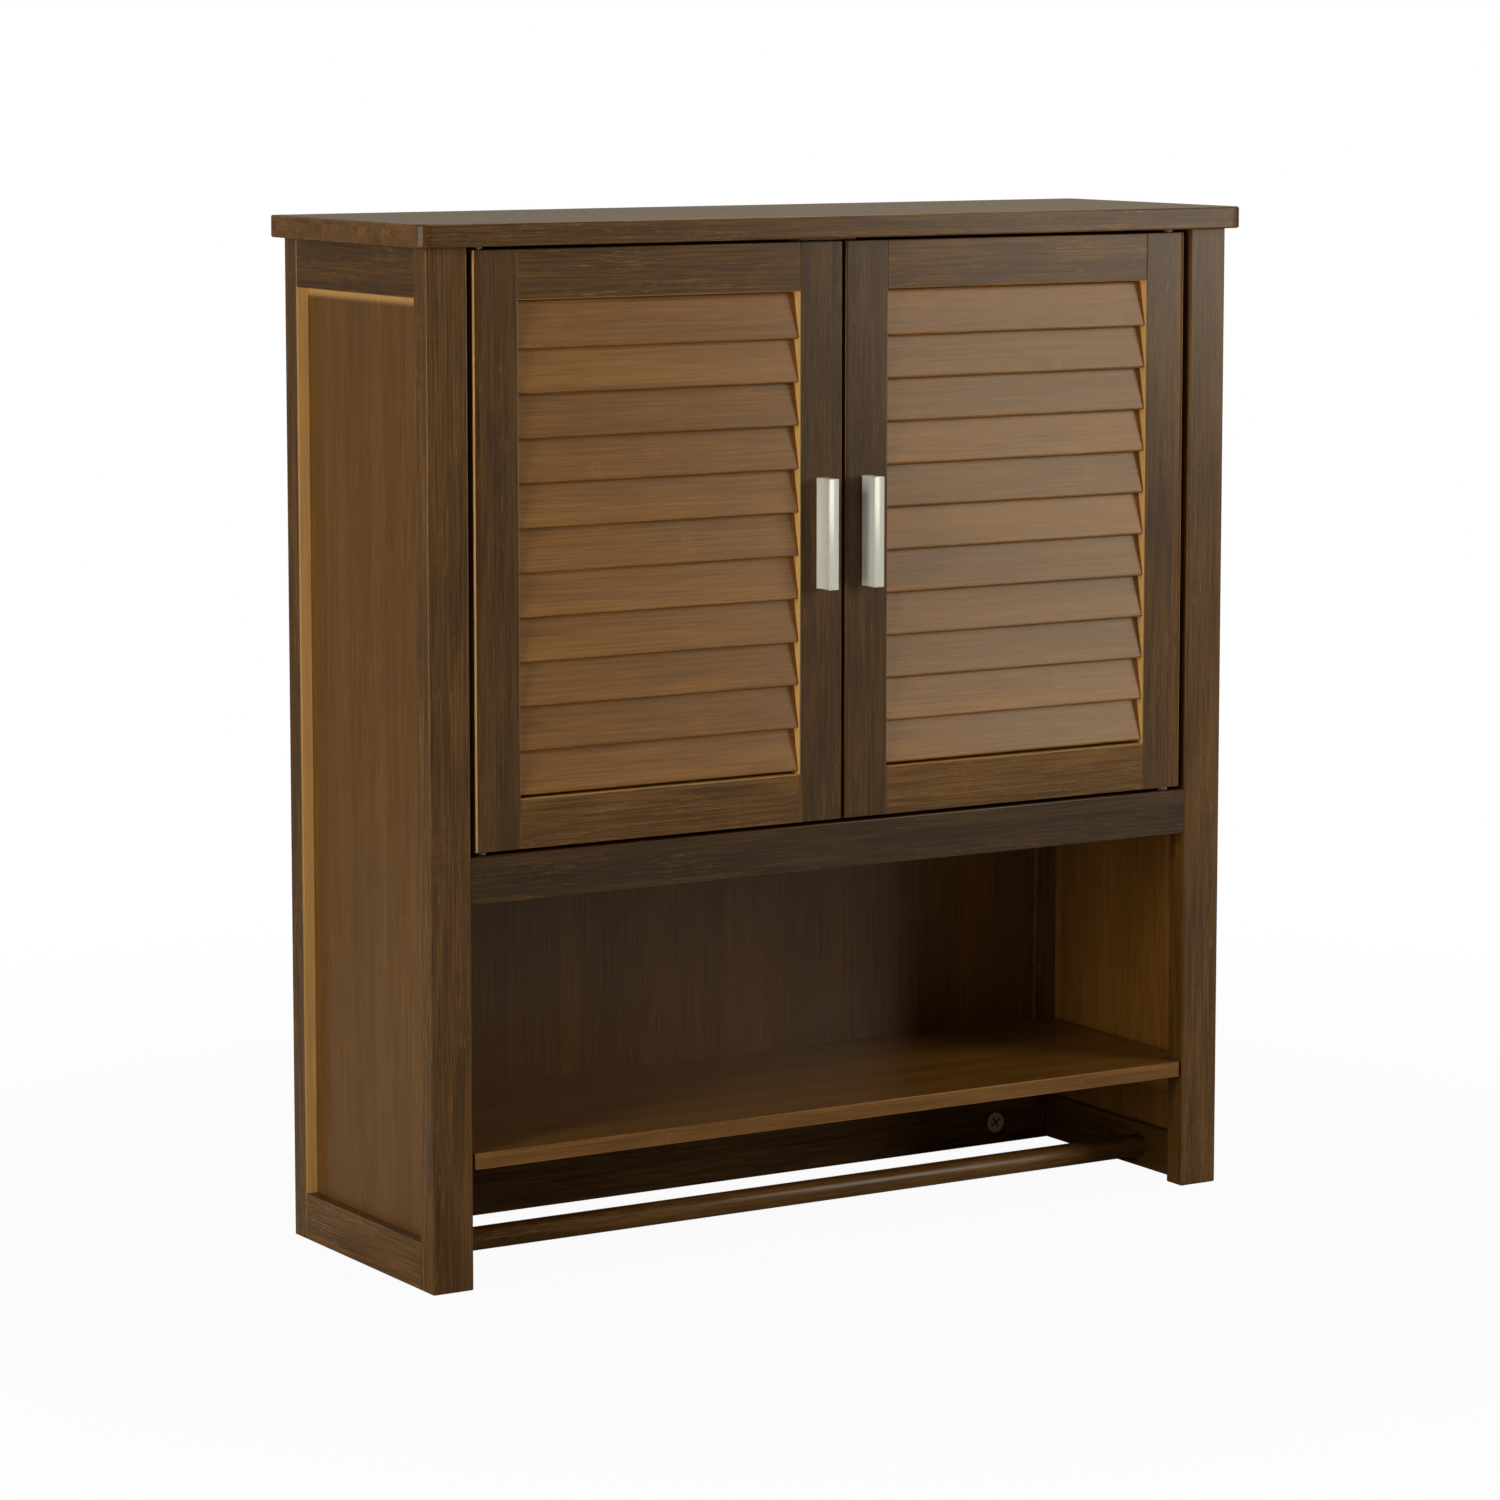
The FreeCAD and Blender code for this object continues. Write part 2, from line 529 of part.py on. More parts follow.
def build_catch_and_rod():
    catch = block("magnetic_catch", ("catch_width", "catch_depth", "catch_height"),
                  ("-catch_width / 2", CATCH_FRONT, "post_height - catch_height"))
    round_edges(catch, "edge_radius", every_edge)
    rod = cylinder("towel_rod", "rod_radius", f"2 * ({FRAME_HALF} + rod_socket)",
                   (f"-({FRAME_HALF} + rod_socket)", f"{FRONT} + rod_setback", "rod_level"), (1, 0, 0))
    sub_parts.append(rod)


def check_and_export():
    doc.recompute()
    for thing in doc.Objects:
        if "Invalid" in thing.State or "Error" in thing.State:
            raise RuntimeError(f"{thing.Label} failed: {thing.State}")
    names = [piece.Label for piece in sub_parts]
    if len(names) != len(set(names)):
        raise RuntimeError("two sub-parts share a name")
    for piece in sub_parts:
        if piece.Shape.isNull() or not piece.Shape.isValid():
            raise RuntimeError(f"{piece.Label} has no valid shape")
    os.makedirs("parts", exist_ok=True)
    for piece in sub_parts:
        piece.Shape.exportStep(f"parts/{piece.Label}.step")
    print(f"{len(sub_parts)} sub-parts")


build_top()
for side_name, side_hand in SIDES.items():
    build_side(side_name, side_hand)
build_shelves()
build_back()
build_cam_fittings()
build_pivots()
build_catch_and_rod()
for side_name, side_hand in SIDES.items():
    build_door(side_name, side_hand)
check_and_export()
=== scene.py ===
"""Looks for a louvred bamboo wall cabinet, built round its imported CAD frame, in metres.

Every wooden piece is a bevelled prism that stands where its CAD node is. Its mesh carries the
fibre direction as attributes, so that one bamboo material fits every board.
"""
import json
import math
import random

import bmesh
import bpy
from mathutils import Matrix, Vector


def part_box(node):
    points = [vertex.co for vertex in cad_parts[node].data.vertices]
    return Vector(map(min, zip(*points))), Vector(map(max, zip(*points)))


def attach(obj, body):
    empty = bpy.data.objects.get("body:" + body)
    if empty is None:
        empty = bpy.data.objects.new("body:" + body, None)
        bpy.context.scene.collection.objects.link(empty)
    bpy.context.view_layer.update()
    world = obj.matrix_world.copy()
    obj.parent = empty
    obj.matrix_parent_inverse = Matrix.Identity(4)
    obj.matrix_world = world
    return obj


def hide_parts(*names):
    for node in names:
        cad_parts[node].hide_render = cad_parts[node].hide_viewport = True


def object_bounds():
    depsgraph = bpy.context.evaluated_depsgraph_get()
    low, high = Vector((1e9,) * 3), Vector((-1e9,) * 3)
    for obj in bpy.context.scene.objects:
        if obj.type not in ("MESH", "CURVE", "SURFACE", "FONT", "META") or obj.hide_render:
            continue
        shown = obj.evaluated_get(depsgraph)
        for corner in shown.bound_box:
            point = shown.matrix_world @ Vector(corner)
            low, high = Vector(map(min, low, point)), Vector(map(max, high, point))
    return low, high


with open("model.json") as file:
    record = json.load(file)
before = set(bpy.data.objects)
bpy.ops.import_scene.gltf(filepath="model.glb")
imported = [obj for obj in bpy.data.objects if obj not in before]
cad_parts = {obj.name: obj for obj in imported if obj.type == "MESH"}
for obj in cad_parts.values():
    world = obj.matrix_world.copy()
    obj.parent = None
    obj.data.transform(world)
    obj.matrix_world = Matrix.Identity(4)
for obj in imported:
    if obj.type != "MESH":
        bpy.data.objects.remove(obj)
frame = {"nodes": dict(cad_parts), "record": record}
cad_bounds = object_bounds()

MM = 0.001
SIDES = ("left", "right")
SLAT_COUNT = 11
SLAT_TILT = math.radians(12)
AXES = {"X": 0, "Y": 1, "Z": 2}

# How much darker or lighter each piece is painted than its material's own colour, by the ends of their
# names. Below 1 is darker. This is partly stain that differs from piece to piece and partly painted
# light and shade: pieces in shade, such as the back panel and the apron of the open bay, are painted
# darker, and the top board and the rear bottom rail are painted lighter, as painted sheen and light.
STAIN_LIGHT_AND_SHADE = {
    1.3: ("top_board", "door_top_rail", "door_bottom_rail", "towel_rod", "rear_bottom_rail"),
    0.75: ("left_top_rail", "right_top_rail", "rear_top_rail", "left_hinge_stile", "meeting_stile",
           "shelf", "cabinet_floor", "shelf_battens", "right_side_panel"),
    0.5: ("apron_rail", "back_panel", "left_side_panel"),
}

# Paint chart colours, from the densest fibre to the lightest, and a pale colour painted on some faces
# and arrises: partly wood that is hardly stained, partly painted light and painted highlight.
DARK_STAIN = ((62, 39, 13), (89, 58, 23), (116, 79, 35))
DARK_PALE_AND_LIT = (232, 182, 116)
BROWN_STAIN = ((118, 78, 32), (139, 93, 40), (160, 110, 50))
BROWN_PALE_AND_LIT = (230, 176, 106)

# Bamboo laminate, in metres.
STRIP_WIDTH, LAYER_DEPTH, KNUCKLE_PITCH = 0.0168, 0.0065, 0.34
# Groove depth of the side panels, and where the paler band painted along a panel's visible top fades
# out.
PANEL_GROOVE, TOP_BAND_START, TOP_BAND_END = 0.005, 0.001, 0.0075
# Width of the pale edge lines, which are partly wear and partly painted highlight.
WORN_AND_HIGHLIT_WIDTH = 0.0014

# Noise along the fibres and across them, in cycles per metre, then its detail and roughness.
BROAD_GRAIN = (4.0, 90.0, 2.0, 0.55)
FINE_GRAIN = (16.0, 760.0, 4.0, 0.65)
CLOUDS = (9.0, 42.0, 3.0, 0.55)
DASHES = (80.0, 2000.0, 2.0, 0.55)
DASH_PATCHES = (13.0, 60.0, 2.0, 0.55)
SPECKLE = (260.0, 700.0, 2.0, 0.55)
EDGE_PATCHES = (34.0, 60.0, 3.0, 0.55)

# Each soft box: its place, its width and height, and its power in watts.
LIGHTS = {
    "left_rear": ((-2.05, 0.87, 0.6), (0.3, 1.3), 5),
    "left_front": ((-2.2, -0.75, 0.75), (0.5, 1.6), 25),
    "right_front": ((1.8, -1.85, 1.15), (1.05, 1.5), 27),
    "overhead": ((0.6, 0.1, 1.9), (0.9, 0.6), 9),
}
LIGHT_TARGET = (0, 0, 0.38)
LIGHT_COLOUR = (1.0, 0.96, 0.8)
WORLD_BACK, WORLD_FRONT = 0.36, 0.02
FLOOR_RADIUS, FLOOR_GLOW = 30, 0.95
MELT_START, MELT_END = 0.3, 1.3

CAMERA_SIDE, CAMERA_AWAY, CAMERA_HEIGHT = -1.827, 2.849, 0.820
CAMERA_TURN, CAMERA_TILT = math.radians(31.59), math.radians(6.92)
CAMERA_LENS, CAMERA_SENSOR, CAMERA_SHIFT = 120.7, 36.0, -0.07

dice = random.Random(7)


# ---------------------------------------------------------------- node graphs

class Graph:
    """A material's node tree, with short calls for the nodes that the materials use."""

    def __init__(self, name):
        self.material = bpy.data.materials.new(name)
        self.material.use_nodes = True
        self.tree = self.material.node_tree
        self.shader = self.tree.nodes["Principled BSDF"]
        self.output = self.tree.nodes["Material Output"]

    def add(self, kind, inputs=(), **settings):
        node = self.tree.nodes.new(f"ShaderNode{kind}")
        for key, value in settings.items():
            setattr(node, key, value)
        for key, value in dict(inputs).items():
            self.feed(node.inputs[key], value)
        return node

    def feed(self, socket, value):
        if isinstance(value, bpy.types.NodeSocket):
            self.tree.links.new(value, socket)
        else:
            socket.default_value = value

    def math(self, operation, first, second=0.0, third=0.0):
        inputs = {0: first, 1: second, 2: third}
        return self.add("Math", inputs, operation=operation).outputs[0]

    def vector(self, x, y, z):
        return self.add("CombineXYZ", {0: x, 1: y, 2: z}).outputs[0]

    def split(self, vector):
        return self.add("SeparateXYZ", {0: vector}).outputs

    def noise(self, vector, scale=1.0, detail=2.0, roughness=0.5):
        inputs = {"Vector": vector, "Scale": scale, "Detail": detail, "Roughness": roughness}
        return self.add("TexNoise", inputs).outputs["Fac"]

    def fade(self, value, low, high, start=0.0, end=1.0):
        """A smooth step from start to end while value goes from low to high."""
        inputs = {"Value": value, "From Min": low, "From Max": high, "To Min": start, "To Max": end}
        return self.add("MapRange", inputs, interpolation_type="SMOOTHSTEP").outputs["Result"]

    def blend(self, factor, first, second, kind="MIX"):
        node = self.add("Mix", {"Factor": factor}, data_type="RGBA", blend_type=kind)
        self.feed(node.inputs["A"], first)
        self.feed(node.inputs["B"], second)
        return node.outputs["Result"]

    def attribute(self, name):
        return self.add("Attribute", attribute_name=name).outputs

    def bump(self, height, distance, strength=1.0, normal=None):
        inputs = {"Height": height, "Distance": distance, "Strength": strength}
        if normal is not None:
            inputs["Normal"] = normal
        return self.add("Bump", inputs).outputs["Normal"]

    def shade(self, **inputs):
        """Set the shader's sockets by name, with underscores for spaces."""
        for key, value in inputs.items():
            self.feed(self.shader.inputs[key.replace("_", " ")], value)
        return self.material


def colour(red, green, blue):
    """A linear colour from the 0 to 255 display values of a paint chart."""
    def linear(value):
        value /= 255
        return value / 12.92 if value <= 0.04045 else ((value + 0.055) / 1.055) ** 2.4
    return (linear(red), linear(green), linear(blue), 1.0)


def scaled(shade, factor, lift=0.0):
    """A colour multiplied and lifted, with full alpha."""
    return tuple(factor * value + lift for value in shade[:3]) + (1.0,)


class Laminate:
    """Where a point lies in the bamboo's strips and layers, as sockets of a material's graph."""

    def __init__(self, graph):
        self.graph = graph
        along, across, self.deep = graph.split(graph.attribute("grain")["Vector"])
        sway = graph.vector(graph.math("MULTIPLY", along, 1.6), 0.0, 0.0)
        wander = graph.noise(sway, 1.0, 1.0)
        self.across = graph.math("MULTIPLY_ADD", wander, 0.0012, across)
        self.strip_place = graph.math("DIVIDE", self.across, STRIP_WIDTH)
        self.strip = graph.math("FLOOR", self.strip_place)
        self.layer = graph.math("FLOOR", graph.math("DIVIDE", self.deep, LAYER_DEPTH))
        cell = graph.vector(self.strip, self.layer, 0.0)
        self.random = graph.add("TexWhiteNoise", {"Vector": cell}).outputs["Value"]
        self.along = graph.math("MULTIPLY_ADD", self.random, 3.7, along)

    def fibres(self, along_scale, across_scale, detail, roughness):
        """Noise drawn out along the fibres, which starts afresh in each strip."""
        place = self.graph.vector(self.graph.math("MULTIPLY", self.along, along_scale),
                                  self.graph.math("MULTIPLY", self.across, across_scale),
                                  self.graph.math("MULTIPLY", self.deep, across_scale))
        return self.graph.noise(place, 1.0, detail, roughness)

    def from_middle(self, place):
        """How far a repeating place is from the middle of its step, from 0 to a half."""
        offset = self.graph.math("SUBTRACT", self.graph.math("FRACT", place), 0.5)
        return self.graph.math("ABSOLUTE", offset)

    def dashes(self):
        patches = self.graph.fade(self.fibres(*DASH_PATCHES), 0.40, 0.62)
        return self.graph.math("MULTIPLY", self.graph.fade(self.fibres(*DASHES), 0.58, 0.70), patches)

    def seams(self):
        return self.graph.fade(self.from_middle(self.strip_place), 0.480, 0.498)

    def knuckles(self):
        """The pale band of each knuckle and the dark line in it, both broken up by speckle."""
        graph = self.graph
        ripple_place = graph.vector(graph.math("MULTIPLY", self.across, 190.0), self.layer, self.strip)
        ripple = graph.noise(ripple_place, 1.0, 2.0)
        rippled = graph.math("MULTIPLY_ADD", ripple, 0.006, self.along)
        place = graph.math("DIVIDE", rippled, KNUCKLE_PITCH)
        reach = graph.math("MULTIPLY", self.from_middle(place), KNUCKLE_PITCH)
        speckle = graph.fade(self.fibres(*SPECKLE), 0.38, 0.62)
        band = graph.math("MULTIPLY", graph.fade(reach, 0.001, 0.0075, 1.0, 0.0), speckle)
        line = graph.math("MULTIPLY", graph.fade(reach, 0.0004, 0.0022, 1.0, 0.0), speckle)
        return band, line


def pale_and_lit_places(graph, gaps, panel_top_band):
    """Where pale wood is painted: the marked faces, partly thin stain and partly painted light, and a
    band along the visible top of a panel in grooves.
    """
    margin = graph.math("SUBTRACT", gaps[2], PANEL_GROOVE)
    height = graph.split(graph.attribute("place")["Vector"])[2]
    upper = graph.math("GREATER_THAN", height, 0.0)
    # A paler band painted along the panel's visible top, fading out downwards.
    top_band = graph.math("MULTIPLY", graph.fade(margin, TOP_BAND_START, TOP_BAND_END, 1.0, 0.0),
                        graph.math("MULTIPLY", upper, panel_top_band))
    return graph.math("MAXIMUM", graph.attribute("pale_and_lit")["Fac"], top_band)


def side_gaps(graph):
    """How far a point is from the sides of its piece, along X, Y and Z."""
    place = {0: graph.attribute("place")["Vector"]}
    away = graph.split(graph.add("VectorMath", place, operation="ABSOLUTE").outputs[0])
    half = graph.split(graph.attribute("half")["Vector"])
    return [graph.math("SUBTRACT", half[i], away[i]) for i in range(3)]


def worn_and_highlit_edges(graph, gaps, laminate):
    """Pale patches along the edges, where the second smallest gap is small: partly wear, partly painted
    highlight on the eased arrises.
    """
    nearer = graph.math("MINIMUM", gaps[0], gaps[1])
    farther = graph.math("MAXIMUM", gaps[0], gaps[1])
    edge_gap = graph.math("MAXIMUM", nearer, graph.math("MINIMUM", farther, gaps[2]))
    patches = graph.fade(laminate.fibres(*EDGE_PATCHES), 0.40, 0.66)
    return graph.math("MULTIPLY", graph.fade(edge_gap, 0.0, WORN_AND_HIGHLIT_WIDTH, 1.0, 0.0), patches)


def bamboo(name, stain, pale_and_lit, strip_contrast, dash_strength, mottle, coat, panel_top_band=0.0):
    """Stained, laminated bamboo: strips, fibres, short pale dashes, knuckles, and pale edges that are
    partly wear and partly painted highlight.

    stain holds three colours from the densest fibre to the lightest. The pale colour that follows is
    painted where the faces' mask attribute is 1, partly wood that the stain hardly reached and partly
    painted light and painted highlight, and along the visible top of a panel that stands in grooves,
    as strongly as the last argument says.
    """
    deep, middle, pale = (colour(*values) for values in stain)
    pale_and_lit = colour(*pale_and_lit)
    graph = Graph(name)
    laminate = Laminate(graph)
    fine = laminate.fibres(*FINE_GRAIN)
    dashes, seams = laminate.dashes(), laminate.seams()
    knuckle_band, knuckle_line = laminate.knuckles()
    gaps = side_gaps(graph)

    level = graph.math("MULTIPLY", laminate.fibres(*BROAD_GRAIN), 0.20)
    level = graph.math("MULTIPLY_ADD", fine, 0.80, level)
    level = graph.math("MULTIPLY_ADD", laminate.fibres(*CLOUDS), mottle, level)
    level = graph.math("MULTIPLY_ADD", laminate.random, strip_contrast, level)
    level = graph.math("MULTIPLY_ADD", graph.attribute("tone")["Fac"], 0.055, level)
    centre, spread = 0.50 + 0.5 * (mottle + strip_contrast), 0.23
    ramp_node = graph.add("ValToRGB", {"Fac": graph.fade(level, centre - spread, centre + spread)})
    ramp = ramp_node.color_ramp
    ramp.elements[0].color = deep
    ramp.elements[1].color = pale
    ramp.elements.new(0.5).color = middle

    glow = scaled(pale, 1.7)
    shade = ramp_node.outputs["Color"]
    # The last mark, the pale edges, is partly wear and partly painted highlight.
    marks = ((dashes, dash_strength, scaled(pale, 2.2, 0.05)), (knuckle_band, 0.16, glow),
             (knuckle_line, 0.30, deep), (seams, 0.25, deep),
             (worn_and_highlit_edges(graph, gaps, laminate), 0.30, glow))
    for place, strength, tint in marks:
        shade = graph.blend(graph.math("MULTIPLY", place, strength), shade, tint)
    # Multiply by the piece's factor: partly stain depth, partly painted light and shade.
    depth = graph.attribute("tint")["Fac"]
    shade = graph.blend(1.0, shade, graph.vector(depth, depth, depth), "MULTIPLY")
    # Pale wood painted where the mask says: partly thin stain, partly painted light and painted
    # highlight.
    pale_and_lit_fibre = graph.blend(fine, scaled(pale_and_lit, 0.62), scaled(pale_and_lit, 1.3))
    shade = graph.blend(pale_and_lit_places(graph, gaps, panel_top_band), shade, pale_and_lit_fibre)

    height = graph.math("MULTIPLY_ADD", dashes, 0.5, fine)
    height = graph.math("MULTIPLY_ADD", seams, -0.8, height)
    height = graph.math("MULTIPLY_ADD", knuckle_line, -0.5, height)
    waves = graph.noise(graph.attribute("grain")["Vector"], 26.0, 1.0)
    return graph.shade(
        Base_Color=shade,
        Roughness=graph.math("MULTIPLY_ADD", fine, 0.16, 0.32),
        Normal=graph.bump(height, 0.00005, 0.9, graph.bump(waves, 0.0006, 0.35)),
        Coat_Weight=coat, Coat_Roughness=0.2, Coat_IOR=1.45, Specular_IOR_Level=0.25)


def aluminium():
    """Satin, drawn aluminium, with faint lines along the bar."""
    graph = Graph("satin_aluminium")
    x, y, z = graph.split(graph.add("TexCoord").outputs["Object"])
    scales = ((x, 7000.0), (y, 7000.0), (z, 25.0))
    stretched = graph.vector(*(graph.math("MULTIPLY", place, scale) for place, scale in scales))
    lines = graph.noise(stretched, 1.0, 3.0)
    shade = graph.blend(lines, (0.86, 0.87, 0.87, 1), (0.98, 0.98, 0.98, 1))
    return graph.shade(
        Base_Color=shade, Metallic=0.15, Roughness=graph.math("MULTIPLY_ADD", lines, 0.1, 0.3),
        Normal=graph.bump(lines, 0.00001, 0.5))


def steel(name, tint, roughness, metallic):
    """Plated steel or zinc, slightly mottled, for screws, cams, pins and plates."""
    graph = Graph(name)
    place = graph.add("TexCoord").outputs["Object"]
    mottle = graph.noise(place, 900.0, 4.0)
    stretched = graph.add("Mapping", {"Vector": place, "Scale": (4000.0, 4000.0, 300.0)}).outputs[0]
    scratches = graph.noise(stretched, 1.0, 2.0)
    shade = graph.blend(mottle, scaled(tint, 0.7), scaled(tint, 1.0))
    return graph.shade(
        Base_Color=shade, Metallic=metallic,
        Roughness=graph.math("MULTIPLY_ADD", mottle, 0.2, roughness),
        Normal=graph.bump(scratches, 0.00002, 0.5))


def nylon():
    """Moulded white nylon with a fine spark-eroded skin."""
    graph = Graph("white_nylon")
    place = graph.add("TexCoord").outputs["Object"]
    skin = graph.noise(place, 2600.0, 2.0)
    dirt = graph.noise(place, 140.0, 3.0)
    shade = graph.blend(graph.fade(dirt, 0.4, 0.7), (0.80, 0.80, 0.77, 1), (0.72, 0.72, 0.68, 1))
    return graph.shade(Base_Color=shade, Roughness=graph.math("MULTIPLY_ADD", skin, 0.2, 0.35),
                       Normal=graph.bump(skin, 0.00005, 0.4))


def ferrite():
    """Dark sintered magnet."""
    graph = Graph("ferrite")
    grit = graph.noise(graph.add("TexCoord").outputs["Object"], 3000.0, 3.0)
    shade = graph.blend(grit, (0.02, 0.02, 0.02, 1), (0.06, 0.06, 0.06, 1))
    return graph.shade(Base_Color=shade, Roughness=0.6, Normal=graph.bump(grit, 0.00006, 0.6))


# ---------------------------------------------------------------- mesh helpers

def rounded(corners, radii, steps=5):
    """A closed outline with each corner replaced by an arc of its own radius."""
    points = []
    count = len(corners)
    for index, corner in enumerate(corners):
        corner = Vector(corner)
        back = (Vector(corners[index - 1]) - corner).normalized()
        ahead = (Vector(corners[(index + 1) % count]) - corner).normalized()
        half_angle = back.angle(ahead) / 2
        radius = radii[index]
        reach = radius / math.tan(half_angle)
        centre = corner + (back + ahead).normalized() * (radius / math.sin(half_angle))
        first = corner + back * reach - centre
        sweep = math.pi - 2 * half_angle
        sign = 1 if (back.x * ahead.y - back.y * ahead.x) < 0 else -1
        for step in range(steps + 1):
            turn = Matrix.Rotation(sign * sweep * step / steps, 2)
            points.append(centre + turn @ first)
    return points


def rectangle(low, high):
    return [(low[0], low[1]), (high[0], low[1]), (high[0], high[1]), (low[0], high[1])]


def circle(centre, radius, steps):
    return [Vector((centre[0] + radius * math.cos(math.tau * i / steps),
                    centre[1] + radius * math.sin(math.tau * i / steps))) for i in range(steps)]


def lift(point, axis, level):
    """A 2-D outline point as a 3-D one, at a level along the axis that it is extruded on."""
    place = [point[0], point[1]]
    place.insert(AXES[axis], level)
    return Vector(place)


def prism(outline, axis, low, high, bevel=0.0):
    """A mesh extruded from an outline, with its two end rims bevelled."""
    mesh = bmesh.new()
    ends = [[mesh.verts.new(lift(point, axis, level)) for point in outline] for level in (low, high)]
    count = len(outline)
    caps = [mesh.faces.new(end) for end in ends]
    for index in range(count):
        following = (index + 1) % count
        mesh.faces.new((ends[0][index], ends[0][following], ends[1][following], ends[1][index]))
    bmesh.ops.recalc_face_normals(mesh, faces=mesh.faces)
    if bevel > 0:
        rim = list({edge for cap in caps for edge in cap.edges})
        bmesh.ops.bevel(mesh, geom=rim, offset=bevel, segments=2, profile=0.5, affect="EDGES",
                        clamp_overlap=True)
    return mesh


def smooth_small_faces(mesh, longest):
    """Shade every narrow face smooth and leave the broad ones flat."""
    for face in mesh.faces:
        widths = sorted(edge.calc_length() for edge in face.edges)
        face.smooth = widths[0] < longest and len(face.verts) <= 4


def finish_mesh(name, mesh, material):
    """Turn a bmesh into an object of the scene."""
    data = bpy.data.meshes.new(name)
    mesh.to_mesh(data)
    mesh.free()
    data.materials.append(material)
    piece = bpy.data.objects.new(name, data)
    bpy.context.scene.collection.objects.link(piece)
    return piece


def lay_grain(piece, node, fibre, broad, pale_and_lit=None):
    """Store where each point lies along, across and in the depth of the fibres.

    fibre and broad name the axes that the fibres and the strips' width follow. The last argument gives,
    from a face's normal, how much pale wood is painted there, from 0 to 1: partly thin stain, partly
    painted light.
    """
    data = piece.data
    points = [vertex.co.copy() for vertex in data.vertices]
    low = Vector([min(point[i] for point in points) for i in range(3)])
    high = Vector([max(point[i] for point in points) for i in range(3)])
    middle, half = (low + high) / 2, (high - low) / 2
    order = [AXES[fibre], AXES[broad]]
    order.append(3 - sum(order))
    start = Vector((dice.uniform(0, 9), dice.uniform(0, 4), dice.uniform(0, 2)))
    tone = dice.uniform(-1, 1)
    # The piece's factor: partly stain depth, partly painted light and shade.
    tint = next((depth for depth, names in STAIN_LIGHT_AND_SHADE.items() if node.endswith(names)), 1.0)
    kinds = {"grain": "FLOAT_VECTOR", "place": "FLOAT_VECTOR", "half": "FLOAT_VECTOR",
             "tone": "FLOAT", "tint": "FLOAT"}
    for attribute, kind in kinds.items():
        data.attributes.new(attribute, kind, "POINT")
    for index, point in enumerate(points):
        from_corner = Vector([point[axis] - low[axis] for axis in order])
        data.attributes["grain"].data[index].vector = from_corner + start
        data.attributes["place"].data[index].vector = point - middle
        data.attributes["half"].data[index].vector = half
        data.attributes["tone"].data[index].value = tone
        data.attributes["tint"].data[index].value = tint
    if pale_and_lit:
        data.attributes.new("pale_and_lit", "FLOAT", "CORNER")
        for face in data.polygons:
            for corner in face.loop_indices:
                data.attributes["pale_and_lit"].data[corner].value = pale_and_lit(face.normal)


def settle(piece, node, body=None):
    """Hide the CAD node that a piece stands for, and let it ride on that node's body."""
    if node is not None:
        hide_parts(node)
    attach(piece, body or body_of(node))


def body_of(node):
    bodies = frame["record"]["behaviour"]["bodies"]
    return next(name for name, nodes in bodies.items() if node in nodes)


def cut(piece, cutter_mesh):
    """Cut a bmesh out of a piece's mesh."""
    cutter = finish_mesh("cutter", cutter_mesh, piece.data.materials[0])
    modifier = piece.modifiers.new("cut", "BOOLEAN")
    modifier.operation = "DIFFERENCE"
    modifier.solver = "EXACT"
    modifier.object = cutter
    graph = bpy.context.evaluated_depsgraph_get()
    result = bpy.data.meshes.new_from_object(piece.evaluated_get(graph))
    piece.modifiers.clear()
    piece.data = result
    bpy.data.objects.remove(cutter)


# ---------------------------------------------------------------- wooden pieces

def board(node, material, length_axis, fibre, broad, radii, bevel, box=None, name=None, holes=(),
          pale_and_lit=None):
    """A wooden piece in the place of a CAD node: a rounded outline extruded along one axis.

    It fills the node's box, or the part of it that box gives as a low and a high corner.
    """
    low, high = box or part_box(node)
    flat = [i for i in range(3) if i != AXES[length_axis]]
    outline = rectangle([low[i] for i in flat], [high[i] for i in flat])
    if not isinstance(radii, (list, tuple)):
        radii = [radii] * 4
    along = AXES[length_axis]
    mesh = prism(rounded(outline, radii), length_axis, low[along], high[along], bevel)
    smooth_small_faces(mesh, 3 * MM)
    piece = finish_mesh(name or f"{node}_wood", mesh, material)
    for hole in holes:
        cut(piece, hole)
    lay_grain(piece, node, fibre, broad, pale_and_lit)
    return piece


def facing(axis, sign, highlit_side=0):
    """Pale wood painted on the faces that point along an axis, and half as pale on the arrises beside
    them: partly thin stain, partly painted light.

    The third argument, when it is -1 or 1, also paints the front arris on that side fully pale along
    its whole length: a painted highlight on a hinge edge.
    """
    def pale_and_lit(normal):
        plain = min(1.0, max(0.0, sign * normal[AXES[axis]]) ** 2)
        # Painted highlight: the front arris on the chosen side is painted fully pale.
        highlit_arris = 0.5 < highlit_side * normal.x < 0.86 and normal.y < -0.4
        return 1.0 if highlit_arris else plain
    return pale_and_lit


def build_top(dark):
    corner, edge = 10 * MM, 1.2 * MM
    settle(board("top_board", dark, "Z", "X", "Y", [corner, corner, edge, edge], 1.4 * MM), "top_board")


def build_side_frame(side, dark, panel):
    for place in ("front", "rear"):
        node = f"{side}_{place}_post"
        # The left rear post's front-facing faces are painted pale: partly thin stain, partly painted
        # light on the reveal beside the side panel.
        settle(board(node, dark, "Z", "Z", "X", 1.3 * MM, 0.8 * MM,
                     pale_and_lit=facing("Y", -1) if node == "left_rear_post" else None), node)
    for place in ("top", "bottom"):
        node = f"{side}_{place}_rail"
        settle(board(node, dark, "Y", "Y", "Z", 0.9 * MM, 0.35 * MM), node)
    node = f"{side}_side_panel"
    settle(board(node, panel, "X", "Z", "Y", 0.2 * MM, 0.2 * MM), node)


